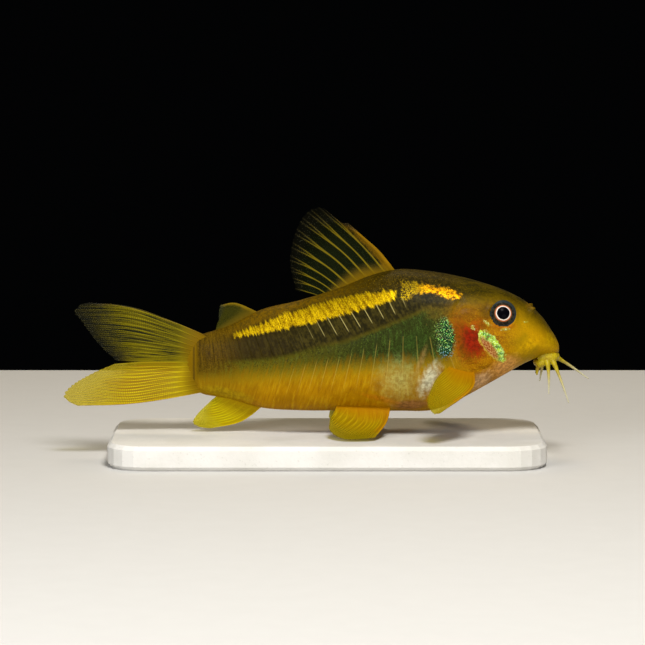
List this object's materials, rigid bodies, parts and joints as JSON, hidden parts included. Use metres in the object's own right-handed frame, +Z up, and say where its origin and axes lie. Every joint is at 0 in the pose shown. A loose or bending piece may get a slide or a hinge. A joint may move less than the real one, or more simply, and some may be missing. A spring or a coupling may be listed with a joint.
{
  "type": "armoured catfish model",
  "caption": "Small armoured catfish with plated flanks, rayed fins and short barbels, propped on its pelvic and anal fins on a flat display base.",
  "frame": {"origin": "middle of the underside of the display base, under the middle of the whole length", "axes": "+X towards the snout, +Z up, -Y is the fish's right side, which faces the picture's camera"},
  "size_m": [0.0662, 0.027, 0.0313],
  "materials": {
    "skin": "wet, scaled, gold and green",
    "fin": "thin rayed membrane, yellow",
    "barbel": "soft, yellow",
    "eye": "polished, dark",
    "base": "matt, pale"
  },
  "bodies": {
    "root": {"head": "skin", "gill_cover_right": "skin", "gill_cover_left": "skin", "torso": "skin", "tail_stalk": "skin", "dorsal_fin": "fin", "adipose_fin": "fin", "tail_fin_upper": "fin", "tail_fin_lower": "fin", "anal_fin": "fin", "pelvic_fin_right": "fin", "pelvic_fin_left": "fin", "pectoral_fin_right": "fin", "pectoral_fin_left": "fin", "eye_right": "eye", "eye_left": "eye", "lower_lip": "skin", "barbel_right_upper": "barbel", "barbel_right_lower": "barbel", "barbel_left_upper": "barbel", "barbel_left_lower": "barbel", "stand_base": "base"}
  },
  "joints": []
}
